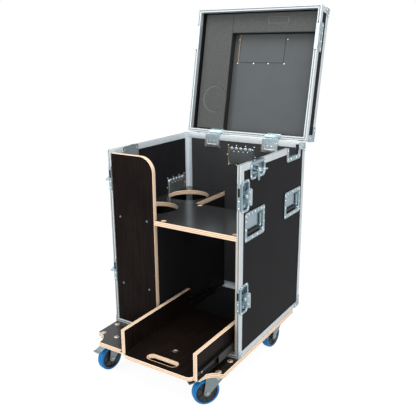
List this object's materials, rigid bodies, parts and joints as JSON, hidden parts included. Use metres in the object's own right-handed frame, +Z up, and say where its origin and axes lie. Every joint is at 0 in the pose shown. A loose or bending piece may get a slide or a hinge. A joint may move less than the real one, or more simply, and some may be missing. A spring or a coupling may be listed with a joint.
{
  "type": "lighting flight case",
  "caption": "Open-front flight case on a caster board: hinged lid, shelf with round holes, pull-out tray, butterfly latches and sprung handles.",
  "frame": {"origin": "on the floor, under the middle of the box around the case with its lid open and its tray out", "axes": "+Z up, +X to the right as seen from the case's open front, +Y to its back"},
  "size_m": [0.6228, 0.9566, 1.3776],
  "materials": {
    "black_laminate": "matte black laminated plywood",
    "brown_ply": "satin brown phenolic plywood",
    "shelf_board": "satin dark grey coated plywood",
    "deck_board": "coated birch plywood",
    "lid_board": "grey laminated plywood",
    "aluminium": "satin extrusion",
    "zinc_steel": "bright zinc plate",
    "black_steel": "satin black zinc",
    "black_grip": "matte moulded",
    "foam": "open cell foam",
    "blue_tyre": "smooth blue"
  },
  "bodies": {
    "root": {"caster_board": "deck_board", "floor_panel": "black_laminate", "left_side_panel": "black_laminate", "right_side_panel": "black_laminate", "rear_panel": "black_laminate", "fascia_board": "brown_ply", "divider_panel": "black_laminate", "shelf_board": "shelf_board", "edge_frame": "aluminium", "left_front_post": "aluminium", "right_front_post": "aluminium", "slide_case_left": "black_steel", "slide_case_right": "black_steel", "hinge_case_left": "zinc_steel", "hinge_case_right": "zinc_steel", "handle_dish_left_front": "zinc_steel", "handle_dish_left_rear": "zinc_steel", "handle_dish_right_front": "zinc_steel", "handle_dish_right_rear": "zinc_steel", "handle_dish_back": "zinc_steel", "latch_pan_left_low": "zinc_steel", "latch_pan_left_high": "zinc_steel", "latch_pan_left_top": "zinc_steel", "latch_pan_right_low": "zinc_steel", "latch_pan_right_high": "zinc_steel", "latch_pan_right_top": "zinc_steel"},
    "lid": {"lid_shell": "lid_board", "lid_edge_frame": "aluminium", "lid_foam": "foam", "lid_label_dish": "zinc_steel", "hinge_lid_left": "zinc_steel", "hinge_lid_right": "zinc_steel"},
    "tray": {"tray_floor": "brown_ply", "tray_wall_left": "brown_ply", "tray_wall_right": "brown_ply", "slide_tray_left": "black_steel", "slide_tray_right": "black_steel"},
    "slide_middles": {"slide_middle_left": "black_steel", "slide_middle_right": "black_steel"},
    "handle_left_front": {"handle_bail_left_front": "black_grip"},
    "handle_left_rear": {"handle_bail_left_rear": "black_grip"},
    "handle_right_front": {"handle_bail_right_front": "black_grip"},
    "handle_right_rear": {"handle_bail_right_rear": "black_grip"},
    "handle_back": {"handle_bail_back": "black_grip"},
    "latch_left_low": {"latch_wing_left_low": "zinc_steel"},
    "latch_left_high": {"latch_wing_left_high": "zinc_steel"},
    "latch_left_top": {"latch_wing_left_top": "zinc_steel"},
    "latch_right_low": {"latch_wing_right_low": "zinc_steel"},
    "latch_right_high": {"latch_wing_right_high": "zinc_steel"},
    "latch_right_top": {"latch_wing_right_top": "zinc_steel"},
    "swivel_front_left": {"caster_fork_front_left": "zinc_steel"},
    "swivel_front_right": {"caster_fork_front_right": "zinc_steel"},
    "swivel_rear_left": {"caster_fork_rear_left": "zinc_steel"},
    "swivel_rear_right": {"caster_fork_rear_right": "zinc_steel"},
    "wheel_front_left": {"caster_wheel_front_left": "blue_tyre"},
    "wheel_front_right": {"caster_wheel_front_right": "blue_tyre"},
    "wheel_rear_left": {"caster_wheel_rear_left": "blue_tyre"},
    "wheel_rear_right": {"caster_wheel_rear_right": "blue_tyre"},
    "pedal_front_left": {"brake_pedal_front_left": "zinc_steel"},
    "pedal_front_right": {"brake_pedal_front_right": "zinc_steel"}
  },
  "joints": [
    {"name": "lid_hinge", "type": "hinge", "parent": "root", "child": "lid", "pos_m": [0, 0.29246, 0.8527], "axis": [1, 0, 0], "range_deg": [0, 101]},
    {"name": "tray_slide", "type": "slide", "parent": "root", "child": "tray", "axis": [0, 1, 0], "range_m": [-0.142, 0.238]},
    {"name": "slide_middle_travel", "type": "slide", "parent": "root", "child": "slide_middles", "axis": [0, 1, 0], "range_m": [-0.071, 0.119]},
    {"name": "handle_left_front_swing", "type": "hinge", "parent": "root", "child": "handle_left_front", "pos_m": [-0.278, -0.13734, 0.6543], "axis": [0, 1, 0], "range_deg": [0, 90], "stiffness_Nm_per_rad": 0.3},
    {"name": "handle_left_rear_swing", "type": "hinge", "parent": "root", "child": "handle_left_rear", "pos_m": [-0.278, 0.18066, 0.6543], "axis": [0, 1, 0], "range_deg": [0, 90], "stiffness_Nm_per_rad": 0.3},
    {"name": "handle_right_front_swing", "type": "hinge", "parent": "root", "child": "handle_right_front", "pos_m": [0.278, -0.13734, 0.6543], "axis": [0, -1, 0], "range_deg": [0, 90], "stiffness_Nm_per_rad": 0.3},
    {"name": "handle_right_rear_swing", "type": "hinge", "parent": "root", "child": "handle_right_rear", "pos_m": [0.278, 0.18066, 0.6543], "axis": [0, -1, 0], "range_deg": [0, 90], "stiffness_Nm_per_rad": 0.3},
    {"name": "handle_back_swing", "type": "hinge", "parent": "root", "child": "handle_back", "pos_m": [0, 0.28066, 0.7953], "axis": [1, 0, 0], "range_deg": [0, 90], "stiffness_Nm_per_rad": 0.3},
    {"name": "latch_left_low_turn", "type": "hinge", "parent": "root", "child": "latch_left_low", "pos_m": [-0.285, -0.21034, 0.3713], "axis": [-1, 0, 0], "range_deg": [0, 180]},
    {"name": "latch_left_high_turn", "type": "hinge", "parent": "root", "child": "latch_left_high", "pos_m": [-0.285, -0.21034, 0.7433], "axis": [-1, 0, 0], "range_deg": [0, 180]},
    {"name": "latch_left_top_turn", "type": "hinge", "parent": "root", "child": "latch_left_top", "pos_m": [-0.285, -0.12234, 0.8203], "axis": [-1, 0, 0], "range_deg": [0, 180]},
    {"name": "latch_right_low_turn", "type": "hinge", "parent": "root", "child": "latch_right_low", "pos_m": [0.285, -0.21034, 0.3713], "axis": [1, 0, 0], "range_deg": [0, 180]},
    {"name": "latch_right_high_turn", "type": "hinge", "parent": "root", "child": "latch_right_high", "pos_m": [0.285, -0.21034, 0.7433], "axis": [1, 0, 0], "range_deg": [0, 180]},
    {"name": "latch_right_top_turn", "type": "hinge", "parent": "root", "child": "latch_right_top", "pos_m": [0.285, -0.12234, 0.8203], "axis": [1, 0, 0], "range_deg": [0, 180]},
    {"name": "swivel_front_left_turn", "type": "hinge", "parent": "root", "child": "swivel_front_left", "pos_m": [-0.23, -0.30434, 0.1123], "axis": [0, 0, 1], "continuous": true},
    {"name": "swivel_front_right_turn", "type": "hinge", "parent": "root", "child": "swivel_front_right", "pos_m": [0.23, -0.30434, 0.1123], "axis": [0, 0, 1], "continuous": true},
    {"name": "swivel_rear_left_turn", "type": "hinge", "parent": "root", "child": "swivel_rear_left", "pos_m": [-0.23, 0.18466, 0.1123], "axis": [0, 0, 1], "continuous": true},
    {"name": "swivel_rear_right_turn", "type": "hinge", "parent": "root", "child": "swivel_rear_right", "pos_m": [0.23, 0.18466, 0.1123], "axis": [0, 0, 1], "continuous": true},
    {"name": "wheel_front_left_roll", "type": "hinge", "parent": "swivel_front_left", "child": "wheel_front_left", "pos_m": [-0.23657, -0.34582, 0.05], "axis": [0.9877, -0.1564, 0], "continuous": true},
    {"name": "wheel_front_right_roll", "type": "hinge", "parent": "swivel_front_right", "child": "wheel_front_right", "pos_m": [0.20531, -0.33832, 0.05], "axis": [0.809, -0.5878, 0], "continuous": true},
    {"name": "wheel_rear_left_roll", "type": "hinge", "parent": "swivel_rear_left", "child": "wheel_rear_left", "pos_m": [-0.21984, 0.14391, 0.05], "axis": [0.9703, 0.2419, 0], "continuous": true},
    {"name": "wheel_rear_right_roll", "type": "hinge", "parent": "swivel_rear_right", "child": "wheel_rear_right", "pos_m": [0.22561, 0.14289, 0.05], "axis": [0.9945, -0.1045, 0], "continuous": true},
    {"name": "pedal_front_left_press", "type": "hinge", "parent": "swivel_front_left", "child": "pedal_front_left", "pos_m": [-0.23626, -0.34385, 0.1066], "axis": [0.9877, -0.1564, 0], "range_deg": [0, 12]},
    {"name": "pedal_front_right_press", "type": "hinge", "parent": "swivel_front_right", "child": "pedal_front_right", "pos_m": [0.20649, -0.3367, 0.1066], "axis": [0.809, -0.5878, 0], "range_deg": [0, 12]}
  ],
  "couplings": [
    {"joint": "slide_middle_travel", "follows": "tray_slide", "ratio": 0.5}
  ]
}
